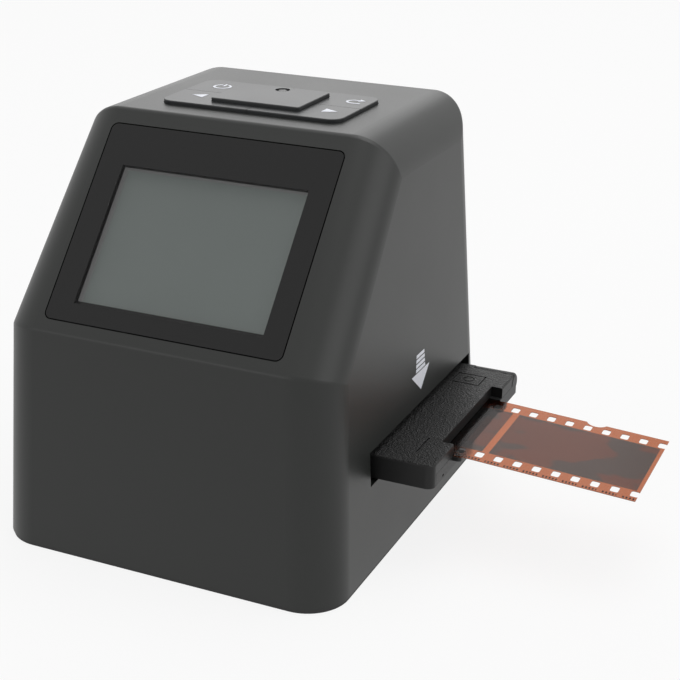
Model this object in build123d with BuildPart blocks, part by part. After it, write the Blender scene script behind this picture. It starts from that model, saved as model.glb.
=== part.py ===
"""A desktop scanner for 35 mm film negatives.

Lengths are millimetres. +X is to the right seen from the front, +Y to the back and +Z up.
The origin is on the surface that the scanner stands on, under the centre of its base.
"""

import os
from math import cos, radians, sin, tan

from build123d import *

os.makedirs("parts", exist_ok=True)

# ---------------------------------------------------------------- driving dimensions
# casing
base_width = 91.8  # left to right at the foot
base_depth = 105.3  # front to back at the foot
case_height = 101.9  # foot to the flat top
crease_height = 56.8  # where the front turns into the screen slope
slope_angle = 49.5  # screen slope, from horizontal
side_draft = 2.6  # lean of the two side walls, from vertical
front_draft = 3.0
back_draft = 5.2
edge_radius = 10.8  # round edges of the two side walls
crease_radius = 1.6  # small rounding across the front, the top and the back
wall = 2.2
rim_height = 1.0  # the base cover's edge that shows under the casing
rim_inset = 0.4
cover_thickness = 3.0
underside_recess = 0.6
rim_width = 5.0

# screen
window_width = 61.7
window_height = 51.4
window_foot = 3.4  # crease to the window's lower edge, up the slope
window_corner = 1.6
window_thickness = 1.2
window_gap = 0.3
mask_thickness = 0.15
ledge = 3.5  # the casing's ledge behind the window's edge
aperture_width = 49.3
aperture_height = 36.2
aperture_foot = 8.0  # crease to the aperture's lower edge, up the slope
aperture_shift = 0.3  # the visible field sits this much right of centre
panel_width = 59.6
panel_height = 42.6
panel_thickness = 2.6
panel_depth = 2.3  # casing's face to the display's face
panel_inset = 0.1
field_width = 48.96
field_height = 36.72
field_shift = 0.3  # the display's field, right of the aperture's middle
field_drop = 0.5
bracket_thickness = 1.2
bracket_bar = 8.0

# film, 35 mm
film_width = 35.0
film_thickness = 0.14
frame_pitch = 38.0
frame_count = 4  # pictures on the strip
perforation_pitch = 4.75
perforation_count = 8  # in one picture's length
perforation_length = 1.98
perforation_width = 2.79
perforation_corner = 0.5
perforation_span = 28.17  # between the two rows, centre to centre
film_right = 103.25  # right end of the strip
cut_perforation_inset = 0.88  # the strip's right end to the last pair's centre
notch_inset = 18.5  # the strip's right end to the middle of its edge notch
notch_radius = 2.7
notch_depth = 1.7

# film holder
holder_right = 58.9
holder_length = 106.0
holder_width = 62.4
holder_centre = 6.5  # behind the casing's centre
holder_foot = 23.1
holder_height = 6.3
film_height = 26.4  # middle of the film strip
gate_length = 36.6
gate_width = 24.6
recess_depth = 3.0  # finger recess where the film leaves the holder
recess_width = 36.6
skirt = 2.4  # front wall of the holder's lid
holder_corner = 2.0  # upright front corners of the lid
channel_gap = 0.15  # above and below the film
channel_side_gap = 0.3  # beside the film
recess_shift = 0.9  # the recess lies this much behind the film's middle
seam = 0.25  # gaps round the lid's hinges
holder_edge = 0.3
lid_edge = 0.5
groove = 0.4  # width of the marks engraved in the lid
groove_depth = 0.25
frame_mark_length = 7.8
frame_mark_width = 6.4
frame_mark_inset = 10.0
frame_mark_ring = 1.6  # outer radius of the ring inside it
line_mark_length = 8.8
line_mark_inset = 6.5
skirt_lift = 0.3  # the skirt's edge above the base's underside
barrel_radius = 2.6
barrel_length = 11.1
barrel_round = 0.9  # outer ends of the barrels
hinge_overhang = 1.4  # the barrels stand this much behind the holder
knuckle_length = 2.6
pin_radius = 0.8
pin_reach = 6.0  # into a barrel
turn_room = 1.4  # under the lid's back edge, for when it is opened
ear_length = 2.0  # two ears carry the film's edges outside the holder
ear_width = 4.5
ear_thickness = 1.0
ear_corner = 0.8
end_hole_radius = 0.4  # small hole in the base's right end
end_hole_depth = 1.5
end_hole_inset = 7.0  # behind the holder's front
end_hole_lift = 1.1  # above the holder's foot
seam_edge = 0.15  # small slope along the base's upper edge

# slot through the casing
slot_front = -28.2
slot_back = 40.0
slot_foot = 22.8
slot_top = 31.5

# tunnel that guides the holder
rail_thickness = 2.2
rail_gap = 0.4  # between the holder and a rail
tray_thickness = 1.8
leg_radius = 2.4
leg_x = 36.5
leg_spread = 22.0
flange_thickness = 2.0
tunnel_headroom = 1.6  # over the holder

# optics
tower_foot_length = 46.0
tower_foot_width = 34.0
tower_top_size = 27.0
tower_wall = 1.8
tower_height = 28.0
barrel_bore = 5.2
lens_tube_radius = 7.4
lens_tube_length = 17.0
lens_thickness = 3.2
lens_edge = 1.6  # thickness at the lens's rim
sensor_gap = 10.0  # lens tower's top to the sensor's board
sensor_board_size = 25.0
sensor_length = 12.0
sensor_width = 9.0
sensor_thickness = 1.4
lamp_length = 48.0
lamp_width = 34.0
lamp_wall = 1.6
diffuser_thickness = 1.5
led_size = 2.8
led_height = 0.8
led_pitch = 14.0
led_columns = 3
led_rows = 2
beam_gap = 3.4  # the tunnel's openings are this much larger than the film gate
flange_length = 56.0
lens_drop = 11.0
lens_seat = 1.0
lens_collar = 1.6
spring_length = 22.0
spring_width = 5.0
spring_thickness = 0.3

# keys on top
keypad_width = 48.6
keypad_depth = 26.8
keypad_setback = 7.5  # behind the slope's top edge
keypad_corner = 3.5
key_rise = 0.95
centre_width = 24.0
centre_depth = 18.5
centre_setback = 4.0  # behind the keypad's front edge
centre_corner = 0.8
centre_rise = 1.9
key_gap = 0.12
key_travel = 0.4
key_lip = 1.0  # how far a key's rim reaches under the casing
key_lip_thickness = 0.9
key_slack = 0.1
stem_radius = 1.5
key_edge = 0.25
light_inset = 2.7  # in front of the centre key's back edge
light_sink = 0.15  # the light's face under the centre key's face
light_radius = 1.35
light_hole_radius = 1.85
switch_size = 6.0
switch_body = 3.3
plunger_radius = 1.7
plunger_rise = 0.9
switch_clearance = 0.5
key_board_width = 64.0
key_board_margin = 4.8  # in front of the keypad and behind it
key_board_drop = 7.8  # under the casing's ceiling

# boards, sockets, screws and feet
board_thickness = 1.6
main_board_width = 62.0
main_board_gap = 0.5  # behind the lamp's posts
main_board_rear_gap = 2.5  # to the back wall
main_board_height = 6.2
usb_width = 7.7
usb_height = 3.9
usb_depth = 6.5
usb_x = 20.0
card_width = 28.0
card_height = 3.4
card_depth = 17.0
card_x = -10.0
socket_gap = 0.4
socket_corner = 0.8
chip_x = 10.0
chip_size = 8.0
chip_height = 1.2
socket_shell = 0.4
socket_setback = 1.0  # a socket's mouth behind the casing's back face
tongue_side_gap = 0.8  # a socket's tongue to its shell
tongue_share = 0.25  # a tongue's thickness, of its socket's height
post_radius = 2.6
post_height = 1.6  # under the lamp's board
tower_post_radius = 2.2
cross_width = 0.5
cross_depth = 0.5
cross_reach = 1.2  # a screw's cross, in radii of its head
boss_radius = 3.2
boss_height = 19.0
boss_x = 37.3
boss_y = 34.0
screw_radius = 1.1
screw_head_radius = 2.1
screw_head_height = 1.3
screw_length = 9.0
small_screw_radius = 0.8
small_head_radius = 1.5
small_head_height = 0.9
small_screw_length = 4.0
pilot_gap = 0.03
hole_gap = 0.25
foot_radius = 4.6
foot_thickness = 1.6
foot_edge = 0.3
foot_x = 30.0
foot_y = 41.0
fit_gap = 0.2  # round parts that drop into each other
running_gap = 0.2  # under parts that slide
cut_margin = 1.0  # how far a cut starts outside what it goes through


def slope(angle):
    """Run for each unit of rise, for a lean from vertical."""
    return tan(radians(angle))


def side_x(height, inset=0.0):
    """Half the casing's width at a height, moved in from its outer face."""
    return half_width - height * slope(side_draft) - inset


def rear_y(height, inset=0.0):
    """The back face's place at a height, moved in from its outer face."""
    return back_y - height * slope(back_draft) - inset


# ---------------------------------------------------------------- places worked out
half_width = base_width / 2
front_y = -base_depth / 2
back_y = base_depth / 2
crease_y = front_y + crease_height * slope(front_draft)
slope_top_y = crease_y + (case_height - crease_height) / tan(radians(slope_angle))
ceiling = case_height - wall
keypad_front = slope_top_y + keypad_setback
keypad_back = keypad_front + keypad_depth
keypad_mid = keypad_front + keypad_depth / 2
centre_front = keypad_front + centre_setback
centre_back = centre_front + centre_depth
centre_mid = centre_front + centre_depth / 2
light_y = centre_back - light_inset

screen_plane = Plane(
    origin=(0, crease_y, crease_height),
    x_dir=(1, 0, 0),
    z_dir=(0, -sin(radians(slope_angle)), cos(radians(slope_angle))),
)
window_mid = window_foot + window_height / 2
aperture_mid = aperture_foot + aperture_height / 2

socket_foot = main_board_height + board_thickness
main_board_front = holder_centre + lamp_width / 2 + post_radius + main_board_gap
main_board_back = rear_y(socket_foot, wall) - main_board_rear_gap
main_board_mid = (main_board_front + main_board_back) / 2

holder_left = holder_right - holder_length
holder_middle = (holder_left + holder_right) / 2
holder_front = holder_centre - holder_width / 2
holder_back = holder_centre + holder_width / 2
holder_top = holder_foot + holder_height
film_length = frame_count * frame_pitch
film_left = film_right - film_length

tray_top = holder_foot - running_gap
tray_foot = tray_top - tray_thickness
tunnel_top = holder_top + tunnel_headroom
rail_front = holder_front - rail_gap
rail_back = holder_back + hinge_overhang + rail_gap
tower_top = tunnel_top + flange_thickness + tower_height


def case_form(inset, foot):
    """The casing's outline moved in by inset: four flat bands, each rounded along the sides."""
    low, high = foot, case_height + edge_radius
    far = base_depth
    f, b, s = radians(front_draft), radians(back_draft), radians(slope_angle)
    bands = [
        ((0, front_y, 0), (0, -cos(f), sin(f))),
        ((0, crease_y, crease_height), (0, -sin(s), cos(s))),
        ((0, 0, case_height), (0, 0, 1)),
        ((0, back_y, 0), (0, cos(b), sin(b))),
    ]
    width_in = inset / cos(radians(side_draft))
    with BuildPart() as form:
        for number, (origin, normal) in enumerate(bands):
            face = Plane(origin=origin, x_dir=(1, 0, 0), z_dir=normal).offset(-inset)
            with BuildPart(mode=Mode.PRIVATE) as band:
                with BuildSketch(Plane.XZ.offset(-far)):
                    with BuildLine():
                        Polyline(
                            (-side_x(low, width_in), low),
                            (side_x(low, width_in), low),
                            (side_x(high, width_in), high),
                            (-side_x(high, width_in), high),
                            close=True,
                        )
                    make_face()
                extrude(amount=2 * far)
                split(bisect_by=face, keep=Keep.BOTTOM)
                cut = band.faces().sort_by(lambda side: side.normal_at().dot(Vector(*normal)))[-1]
                fillet(cut.edges().filter_by(Axis.X, reverse=True), edge_radius - inset)
            add(band.part, mode=Mode.ADD if number == 0 else Mode.INTERSECT)
    return form.part


def cross_edges(part):
    """The casing's edges that run from side to side, above its foot."""
    return [
        edge
        for edge in part.edges().filter_by(Axis.X)
        if edge.center().Z > rim_height + cut_margin and edge.length > base_width / 2
    ]


# ---------------------------------------------------------------- casing
inner_form = case_form(wall, rim_height)

key_board_depth = keypad_depth + 2 * key_board_margin
key_post_spread = (key_board_width - 2 * post_radius, key_board_depth - 2 * post_radius)
key_board_top = ceiling - key_board_drop
panel_back = panel_depth + panel_thickness
bracket_post_x = panel_width / 2 + aperture_shift + post_radius
bracket_post_y = panel_height / 2 - 2 * post_radius

with BuildPart() as boss_stems:
    with BuildSketch(Plane.XY.offset(cover_thickness)):
        with GridLocations(2 * boss_x, 2 * boss_y, 2, 2):
            Circle(boss_radius)
        with GridLocations(boss_x + half_width, 2 * boss_y, 2, 2):
            Rectangle(half_width - boss_x, wall)
    extrude(amount=boss_height - cover_thickness)

with BuildPart() as key_posts:
    with BuildSketch(Plane.XY.offset(key_board_top)):
        with Locations((0, keypad_mid)):
            with GridLocations(*key_post_spread, 2, 2):
                Circle(post_radius)
    extrude(amount=key_board_drop + wall / 2)

with BuildPart() as bracket_posts:
    with BuildSketch(screen_plane.offset(-wall / 2)):
        with Locations((0, aperture_mid)):
            with GridLocations(2 * bracket_post_x, 2 * bracket_post_y, 2, 2):
                Circle(post_radius)
    extrude(amount=-(panel_back - wall / 2))

outer_form = case_form(0, rim_height)

with BuildPart() as main_case:
    add(outer_form)
    fillet(cross_edges(main_case), crease_radius)
    add(inner_form, mode=Mode.SUBTRACT)
    add(boss_stems.part)
    add(key_posts.part)
    add(bracket_posts.part)
    # what the bosses' ribs leave outside the side walls is trimmed off
    add(outer_form, mode=Mode.INTERSECT)
    # window seat and the opening behind it
    with BuildSketch(screen_plane):
        with Locations((0, window_mid)):
            RectangleRounded(
                window_width + 2 * window_gap, window_height + 2 * window_gap, window_corner + window_gap
            )
    extrude(amount=-(window_thickness + mask_thickness), mode=Mode.SUBTRACT)
    with BuildSketch(screen_plane):
        with Locations((0, window_mid)):
            RectangleRounded(window_width - 2 * ledge, window_height - 2 * ledge, window_corner)
    extrude(amount=-2 * wall, mode=Mode.SUBTRACT)
    # keypad opening
    with BuildSketch(Plane.XY.offset(case_height + cut_margin)):
        with Locations((0, keypad_mid)):
            RectangleRounded(
                keypad_width + 2 * key_gap, keypad_depth + 2 * key_gap, keypad_corner + key_gap
            )
    extrude(amount=-(wall + 2 * cut_margin), mode=Mode.SUBTRACT)
    # slot for the film holder, through both side walls
    with BuildSketch(Plane.YZ.offset(-half_width - cut_margin)):
        with Locations(((slot_front + slot_back) / 2, (slot_foot + slot_top) / 2)):
            Rectangle(slot_back - slot_front, slot_top - slot_foot)
    extrude(amount=base_width + 2 * cut_margin, mode=Mode.SUBTRACT)
    # socket openings in the back wall
    with BuildSketch(Plane.XZ.offset(-back_y - cut_margin)):
        with Locations((usb_x, socket_foot + usb_height / 2)):
            RectangleRounded(usb_width + 2 * socket_gap, usb_height + 2 * socket_gap, socket_corner)
        with Locations((card_x, socket_foot + card_height / 2)):
            RectangleRounded(card_width + 2 * socket_gap, card_height + 2 * socket_gap, socket_corner)
    extrude(amount=2 * (wall + cut_margin), mode=Mode.SUBTRACT)
    # pilot holes in the bosses and posts
    with Locations((0, 0, cover_thickness)):
        with GridLocations(2 * boss_x, 2 * boss_y, 2, 2):
            Cylinder(screw_radius + pilot_gap, 2 * screw_length, mode=Mode.SUBTRACT)
    with Locations((0, keypad_mid, key_board_top)):
        with GridLocations(*key_post_spread, 2, 2):
            Cylinder(small_screw_radius + pilot_gap, 2 * small_screw_length, mode=Mode.SUBTRACT)
    with BuildSketch(screen_plane.offset(-panel_back)):
        with Locations((0, aperture_mid)):
            with GridLocations(2 * bracket_post_x, 2 * bracket_post_y, 2, 2):
                Circle(small_screw_radius + pilot_gap)
    extrude(amount=small_screw_length - bracket_thickness, mode=Mode.SUBTRACT)

# ---------------------------------------------------------------- base and its fixings
lamp_board_height = cover_thickness + post_height
cover_plate_width = 2 * side_x(cover_thickness, wall + fit_gap)
cover_plate_front = front_y + wall + fit_gap + cover_thickness * slope(front_draft)
cover_plate_back = rear_y(cover_thickness, wall + fit_gap)
lamp_post_spread = (lamp_length, lamp_width)
main_post_spread = (
    main_board_width - 2 * post_radius,
    main_board_back - main_board_front - 2 * post_radius,
)
head_top = underside_recess + screw_head_height + fit_gap

with BuildPart() as base_cover:
    with BuildSketch():
        RectangleRounded(base_width - 2 * rim_inset, base_depth - 2 * rim_inset, edge_radius - rim_inset)
    extrude(amount=rim_height)
    with BuildSketch(Plane.XY.offset(rim_height)):
        with Locations((0, (cover_plate_front + cover_plate_back) / 2)):
            RectangleRounded(
                cover_plate_width, cover_plate_back - cover_plate_front, edge_radius - wall - fit_gap
            )
    extrude(amount=cover_thickness - rim_height)
    with BuildSketch():
        RectangleRounded(
            base_width - 2 * (rim_inset + rim_width),
            base_depth - 2 * (rim_inset + rim_width),
            edge_radius - rim_width,
        )
    extrude(amount=underside_recess, mode=Mode.SUBTRACT)
    # posts for the main board and the lamp's board
    with BuildSketch(Plane.XY.offset(cover_thickness)):
        with Locations((0, main_board_mid)):
            with GridLocations(*main_post_spread, 2, 2):
                Circle(post_radius)
    extrude(amount=main_board_height - cover_thickness)
    with BuildSketch(Plane.XY.offset(cover_thickness)):
        with Locations((0, holder_centre)):
            with GridLocations(*lamp_post_spread, 2, 2):
                Circle(post_radius)
    extrude(amount=post_height)
    with Locations((0, main_board_mid, main_board_height)):
        with GridLocations(*main_post_spread, 2, 2):
            Cylinder(small_screw_radius + pilot_gap, 2 * small_screw_length, mode=Mode.SUBTRACT)
    # pockets for the feet, and stepped holes for the casing's screws
    with GridLocations(2 * foot_x, 2 * foot_y, 2, 2):
        Cylinder(foot_radius + fit_gap, 2 * foot_thickness, mode=Mode.SUBTRACT)
    with GridLocations(2 * boss_x, 2 * boss_y, 2, 2):
        Cylinder(screw_head_radius + hole_gap, 2 * head_top, mode=Mode.SUBTRACT)
        Cylinder(screw_radius + hole_gap, 2 * (cover_thickness + cut_margin), mode=Mode.SUBTRACT)

with BuildPart() as rubber_feet:
    with BuildSketch():
        with GridLocations(2 * foot_x, 2 * foot_y, 2, 2):
            Circle(foot_radius)
    extrude(amount=foot_thickness)
    chamfer(rubber_feet.faces().sort_by(Axis.Z)[0:4].edges(), foot_edge)

with BuildPart() as case_screws:
    with BuildSketch(Plane.XY.offset(head_top)):
        with GridLocations(2 * boss_x, 2 * boss_y, 2, 2):
            Circle(screw_head_radius)
    extrude(amount=-screw_head_height)
    with BuildSketch(Plane.XY.offset(head_top)):
        with GridLocations(2 * boss_x, 2 * boss_y, 2, 2):
            Circle(screw_radius)
    extrude(amount=screw_length)
    with BuildSketch(Plane.XY.offset(head_top - screw_head_height)):
        with GridLocations(2 * boss_x, 2 * boss_y, 2, 2):
            Rectangle(screw_head_radius * cross_reach, cross_width)
            Rectangle(cross_width, screw_head_radius * cross_reach)
    extrude(amount=cross_depth, mode=Mode.SUBTRACT)

# ---------------------------------------------------------------- screen
with BuildPart() as screen_window:
    with BuildSketch(screen_plane):
        with Locations((0, window_mid)):
            RectangleRounded(window_width, window_height, window_corner)
    extrude(amount=-window_thickness)

with BuildPart() as window_mask:
    with BuildSketch(screen_plane.offset(-window_thickness)):
        with Locations((0, window_mid)):
            RectangleRounded(window_width, window_height, window_corner)
        with Locations((aperture_shift, aperture_mid)):
            Rectangle(aperture_width, aperture_height, mode=Mode.SUBTRACT)
    extrude(amount=-mask_thickness)

with BuildPart() as display_panel:
    with BuildSketch(screen_plane.offset(-panel_depth - panel_inset)):
        with Locations((aperture_shift + field_shift, aperture_mid - field_drop)):
            Rectangle(field_width, field_height)
    extrude(amount=-(panel_thickness - 2 * panel_inset))

with BuildPart() as display_frame:
    with BuildSketch(screen_plane.offset(-panel_depth)):
        with Locations((aperture_shift, aperture_mid)):
            Rectangle(panel_width, panel_height)
        with Locations((aperture_shift + field_shift, aperture_mid - field_drop)):
            Rectangle(field_width, field_height, mode=Mode.SUBTRACT)
    extrude(amount=-(panel_thickness - panel_inset))
    with BuildSketch(screen_plane.offset(-panel_back)):
        with Locations((aperture_shift, aperture_mid)):
            Rectangle(panel_width, panel_height)
    extrude(amount=panel_inset)

with BuildPart() as lcd_bracket:
    with BuildSketch(screen_plane.offset(-panel_back)):
        with Locations((0, aperture_mid)):
            RectangleRounded(
                2 * (bracket_post_x + post_radius), 2 * (bracket_post_y + post_radius), post_radius
            )
            Rectangle(
                panel_width - 2 * bracket_bar, 2 * bracket_post_y - bracket_bar, mode=Mode.SUBTRACT
            )
            with GridLocations(2 * bracket_post_x, 2 * bracket_post_y, 2, 2):
                Circle(small_screw_radius + hole_gap, mode=Mode.SUBTRACT)
    extrude(amount=-bracket_thickness)

# ---------------------------------------------------------------- keys
key_lip_top = ceiling - key_slack
key_lip_foot = key_lip_top - key_lip_thickness
centre_lip_top = key_lip_foot - key_travel - fit_gap
centre_lip_foot = centre_lip_top - key_lip_thickness
plunger_top = key_board_top + switch_body + plunger_rise
stem_foot = plunger_top + switch_clearance
corner_x = (centre_width / 2 + keypad_width / 2) / 2
corner_front = (keypad_front + centre_mid) / 2
corner_back = (keypad_back + centre_mid) / 2

with BuildPart() as key_plate:
    with BuildSketch(Plane.XY.offset(key_lip_foot)):
        with Locations((0, keypad_mid)):
            RectangleRounded(keypad_width, keypad_depth, keypad_corner)
    extrude(amount=case_height + key_rise - key_lip_foot)
    fillet(key_plate.faces().sort_by(Axis.Z)[-1].edges(), key_edge)
    with BuildSketch(Plane.XY.offset(key_lip_foot)):
        with Locations((0, keypad_mid)):
            RectangleRounded(
                keypad_width + 2 * key_lip, keypad_depth + 2 * key_lip, keypad_corner + key_lip
            )
    extrude(amount=key_lip_thickness)
    with BuildSketch(Plane.XY.offset(key_lip_foot)):
        with Locations((0, centre_mid)):
            RectangleRounded(
                centre_width + 2 * key_gap, centre_depth + 2 * key_gap, centre_corner + key_gap
            )
    extrude(amount=2 * case_height, mode=Mode.SUBTRACT)


def corner_key(side, end, switch_y):
    """One quarter of the key plate, with the stem that reaches its switch."""
    reach = keypad_width
    shift = (reach + key_gap) / 2
    with BuildPart() as key:
        with BuildSketch(Plane.XY.offset(stem_foot)):
            with Locations((side * shift, centre_mid + end * shift)):
                Rectangle(reach, reach)
        extrude(amount=case_height)
        add(key_plate.part, mode=Mode.INTERSECT)
        with BuildSketch(Plane.XY.offset(stem_foot)):
            with Locations((side * corner_x, switch_y)):
                Circle(stem_radius)
        extrude(amount=key_lip_foot - stem_foot)
    return key


power_key = corner_key(-1, 1, corner_back)
mode_key = corner_key(1, 1, corner_back)
left_key = corner_key(-1, -1, corner_front)
right_key = corner_key(1, -1, corner_front)

with BuildPart() as ok_key:
    with BuildSketch(Plane.XY.offset(centre_lip_foot)):
        with Locations((0, centre_mid)):
            RectangleRounded(centre_width, centre_depth, centre_corner)
    extrude(amount=case_height + centre_rise - centre_lip_foot)
    fillet(ok_key.faces().sort_by(Axis.Z)[-1].edges(), key_edge)
    with BuildSketch(Plane.XY.offset(centre_lip_foot)):
        with Locations((0, centre_mid)):
            RectangleRounded(
                centre_width + 2 * key_lip, centre_depth + 2 * key_lip, centre_corner + key_lip
            )
    extrude(amount=key_lip_thickness)
    with BuildSketch(Plane.XY.offset(stem_foot)):
        with Locations((0, centre_mid)):
            Circle(stem_radius)
    extrude(amount=centre_lip_foot - stem_foot)
    with Locations((0, light_y, case_height)):
        Cylinder(light_hole_radius, case_height, mode=Mode.SUBTRACT)

switch_places = [
    (0, centre_mid),
    (-corner_x, corner_front),
    (corner_x, corner_front),
    (-corner_x, corner_back),
    (corner_x, corner_back),
]

with BuildPart() as key_board:
    with BuildSketch(Plane.XY.offset(key_board_top)):
        with Locations((0, keypad_mid)):
            Rectangle(key_board_width, key_board_depth)
            with GridLocations(*key_post_spread, 2, 2):
                Circle(small_screw_radius + hole_gap, mode=Mode.SUBTRACT)
    extrude(amount=-board_thickness)

with BuildPart() as tact_switches:
    with BuildSketch(Plane.XY.offset(key_board_top)):
        with Locations(*switch_places):
            Rectangle(switch_size, switch_size)
    extrude(amount=switch_body)
    with BuildSketch(Plane.XY.offset(key_board_top + switch_body)):
        with Locations(*switch_places):
            Circle(plunger_radius)
    extrude(amount=plunger_rise)

with BuildPart() as status_led:
    with BuildSketch(Plane.XY.offset(key_board_top)):
        with Locations((0, light_y)):
            Rectangle(led_size, led_size / 2)
    extrude(amount=led_height)

with BuildPart() as light_pipe:
    with BuildSketch(Plane.XY.offset(key_board_top + led_height)):
        with Locations((0, light_y)):
            Circle(light_radius)
    extrude(amount=case_height + centre_rise - light_sink - key_board_top - led_height)

# ---------------------------------------------------------------- lamp under the film
tray_half = side_x(tunnel_top, wall + fit_gap)
lamp_foot = lamp_board_height + board_thickness
lamp_top = tray_foot - fit_gap - diffuser_thickness

with BuildPart() as backlight_board:
    with BuildSketch(Plane.XY.offset(lamp_board_height)):
        with Locations((0, holder_centre)):
            Rectangle(lamp_length + 2 * post_radius, lamp_width + 2 * post_radius)
    extrude(amount=board_thickness)

with BuildPart() as backlight_leds:
    with BuildSketch(Plane.XY.offset(lamp_foot)):
        with Locations((0, holder_centre)):
            with GridLocations(led_pitch, led_pitch, led_columns, led_rows):
                Rectangle(led_size, led_size)
    extrude(amount=led_height)

with BuildPart() as light_box:
    with BuildSketch(Plane.XY.offset(lamp_foot)):
        with Locations((0, holder_centre)):
            Rectangle(lamp_length, lamp_width)
            Rectangle(lamp_length - 2 * lamp_wall, lamp_width - 2 * lamp_wall, mode=Mode.SUBTRACT)
    extrude(amount=lamp_top - lamp_foot)

with BuildPart() as diffuser_plate:
    with BuildSketch(Plane.XY.offset(lamp_top)):
        with Locations((0, holder_centre)):
            Rectangle(lamp_length, lamp_width)
    extrude(amount=diffuser_thickness)

# ---------------------------------------------------------------- tunnel for the holder
tray_front = rail_front - rail_thickness
tray_back = rail_back + rail_thickness
tray_mid = (tray_front + tray_back) / 2

with BuildPart() as slot_guide:
    with BuildSketch(Plane.XY.offset(tray_foot)):
        with Locations((0, tray_mid)):
            Rectangle(2 * tray_half, tray_back - tray_front)
        with Locations((0, holder_centre)):
            Rectangle(gate_length + beam_gap, gate_width + beam_gap, mode=Mode.SUBTRACT)
    extrude(amount=tray_thickness)
    with BuildSketch(Plane.XY.offset(tray_top)):
        for rail_mid in (rail_front - rail_thickness / 2, rail_back + rail_thickness / 2):
            with Locations((0, rail_mid)):
                Rectangle(2 * tray_half, rail_thickness)
    extrude(amount=tunnel_top - tray_top)
    with BuildSketch(Plane.XY.offset(cover_thickness)):
        with GridLocations(2 * leg_x, 2 * leg_spread, 2, 2):
            Circle(leg_radius)
    extrude(amount=tray_foot - cover_thickness)

flange_top = tunnel_top + flange_thickness
sensor_board_foot = tower_top + sensor_gap
tower_post_spread = sensor_board_size - 2 * tower_post_radius

with BuildPart() as optics_tower:
    with BuildSketch(Plane.XY.offset(tunnel_top)):
        with Locations((0, tray_mid)):
            Rectangle(flange_length, tray_back - tray_front)
    extrude(amount=flange_thickness)
    with BuildSketch(Plane.XY.offset(flange_top)):
        with Locations((0, holder_centre)):
            Rectangle(tower_foot_length, tower_foot_width)
    with BuildSketch(Plane.XY.offset(tower_top)):
        with Locations((0, holder_centre)):
            Rectangle(tower_top_size, tower_top_size)
    loft()
    with BuildSketch(Plane.XY.offset(tunnel_top)):
        with Locations((0, holder_centre)):
            Rectangle(tower_foot_length - 2 * tower_wall, tower_foot_width - 2 * tower_wall)
    with BuildSketch(Plane.XY.offset(tower_top - tower_wall)):
        with Locations((0, holder_centre)):
            Rectangle(tower_top_size - 2 * tower_wall, tower_top_size - 2 * tower_wall)
    loft(mode=Mode.SUBTRACT)
    with BuildSketch(Plane.XY.offset(tower_top)):
        with Locations((0, holder_centre)):
            with GridLocations(tower_post_spread, tower_post_spread, 2, 2):
                Circle(tower_post_radius)
    extrude(amount=sensor_gap)
    with Locations((0, holder_centre, tower_top)):
        Cylinder(lens_tube_radius + pilot_gap, 2 * (tower_wall + cut_margin), mode=Mode.SUBTRACT)
    with Locations((0, holder_centre, sensor_board_foot)):
        with GridLocations(tower_post_spread, tower_post_spread, 2, 2):
            Cylinder(small_screw_radius + pilot_gap, 2 * small_screw_length, mode=Mode.SUBTRACT)

lens_foot = tower_top - lens_drop
lens_radius = barrel_bore + lens_seat
lens_seat_depth = 2 * lens_thickness

with BuildPart() as lens_tube:
    with BuildSketch(Plane.XY.offset(lens_foot)):
        with Locations((0, holder_centre)):
            Circle(lens_tube_radius)
            Circle(barrel_bore, mode=Mode.SUBTRACT)
    extrude(amount=lens_tube_length)
    with BuildSketch(Plane.XY.offset(tower_top)):
        with Locations((0, holder_centre)):
            Circle(lens_tube_radius + lens_collar)
            Circle(lens_tube_radius, mode=Mode.SUBTRACT)
    extrude(amount=lens_collar)
    with BuildSketch(Plane.XY.offset(lens_foot)):
        with Locations((0, holder_centre)):
            Circle(lens_radius + pilot_gap)
    extrude(amount=lens_seat_depth, mode=Mode.SUBTRACT)

lens_mid = lens_foot + lens_seat_depth - lens_thickness / 2

with BuildPart() as lens_glass:
    with BuildSketch(Plane.XZ.offset(-holder_centre)):
        with BuildLine():
            half, edge = lens_thickness / 2, lens_edge / 2
            TangentArc((0, lens_mid + half), (lens_radius, lens_mid + edge), tangent=(1, 0))
            Line((lens_radius, lens_mid + edge), (lens_radius, lens_mid - edge))
            TangentArc((0, lens_mid - half), (lens_radius, lens_mid - edge), tangent=(1, 0))
            Line((0, lens_mid - half), (0, lens_mid + half))
        make_face()
    revolve(axis=Axis((0, holder_centre, 0), (0, 0, 1)))

with BuildPart() as sensor_board:
    with BuildSketch(Plane.XY.offset(sensor_board_foot)):
        with Locations((0, holder_centre)):
            Rectangle(sensor_board_size, sensor_board_size)
            with GridLocations(tower_post_spread, tower_post_spread, 2, 2):
                Circle(small_screw_radius + hole_gap, mode=Mode.SUBTRACT)
    extrude(amount=board_thickness)

with BuildPart() as image_sensor:
    with BuildSketch(Plane.XY.offset(sensor_board_foot)):
        with Locations((0, holder_centre)):
            Rectangle(sensor_length, sensor_width)
    extrude(amount=-sensor_thickness)

with BuildPart() as detent_spring:
    spring_y = holder_front + spring_width
    with BuildSketch(Plane.XY.offset(tunnel_top)):
        with Locations((0, spring_y)):
            Rectangle(spring_length, spring_width)
    extrude(amount=-spring_thickness)
    with BuildSketch(Plane.XZ.offset(-spring_y - spring_width / 2)):
        with Locations((0, tunnel_top - spring_thickness)):
            Circle(tunnel_headroom - spring_thickness - fit_gap)
        with Locations((0, tunnel_top)):
            Rectangle(spring_length, 2 * spring_thickness, mode=Mode.SUBTRACT)
        with Locations((0, tunnel_top + spring_length / 2)):
            Rectangle(spring_length, spring_length, mode=Mode.SUBTRACT)
    extrude(amount=spring_width)

# ---------------------------------------------------------------- main board and sockets
usb_mouth = rear_y(socket_foot + usb_height / 2, socket_setback)
card_mouth = rear_y(socket_foot + card_height / 2, socket_setback)

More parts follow.
